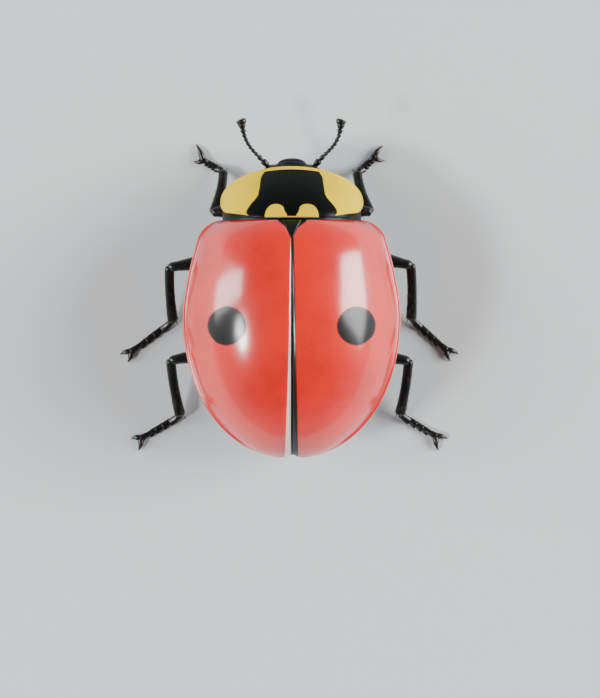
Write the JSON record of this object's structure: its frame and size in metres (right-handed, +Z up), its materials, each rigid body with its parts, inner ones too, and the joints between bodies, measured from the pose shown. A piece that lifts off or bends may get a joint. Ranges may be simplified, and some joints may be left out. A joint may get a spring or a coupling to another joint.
{
  "type": "ladybird",
  "caption": "Two-spot ladybird at life size, standing with wing cases closed: a still model of a domed red beetle with a black and yellow shield, clubbed feelers and bent legs.",
  "frame": {"origin": "on the floor, under the middle of the beetle's box", "axes": "+Z up, -Y towards the head, +X towards the beetle's left side"},
  "size_m": [0.0063, 0.0062, 0.0026],
  "materials": {
    "wing_cases": "glossy red wing cases, a round black spot on each, fine pits",
    "scutellum": "semi-gloss black",
    "pronotum": "glossy yellow shield with a black M-shaped mark and a black rear border",
    "head": "semi-gloss black with fine pits and two pale spots",
    "eyes": "glossy black, finely faceted",
    "mouthparts": "dark brown-black",
    "feelers": "black, beaded, with short bristles on the club",
    "underside": "black, finely pitted",
    "legs": "satin black with short bristles"
  },
  "bodies": {
    "root": {"elytron_left": "wing_cases", "elytron_right": "wing_cases", "scutellum": "scutellum", "pronotum": "pronotum", "head": "head", "eye_left": "eyes", "eye_right": "eyes", "mouthparts": "mouthparts", "palp_left": "mouthparts", "palp_right": "mouthparts", "antenna_left": "feelers", "antenna_right": "feelers", "antenna_club_left": "feelers", "antenna_club_right": "feelers", "prosternum": "underside", "mesosternum": "underside", "metasternum": "underside", "abdomen": "underside", "coxa_front_left": "legs", "femur_front_left": "legs", "tibia_front_left": "legs", "tarsus_front_left": "legs", "coxa_front_right": "legs", "femur_front_right": "legs", "tibia_front_right": "legs", "tarsus_front_right": "legs", "coxa_middle_left": "legs", "femur_middle_left": "legs", "tibia_middle_left": "legs", "tarsus_middle_left": "legs", "coxa_middle_right": "legs", "femur_middle_right": "legs", "tibia_middle_right": "legs", "tarsus_middle_right": "legs", "coxa_hind_left": "legs", "femur_hind_left": "legs", "tibia_hind_left": "legs", "tarsus_hind_left": "legs", "coxa_hind_right": "legs", "femur_hind_right": "legs", "tibia_hind_right": "legs", "tarsus_hind_right": "legs"}
  },
  "joints": []
}
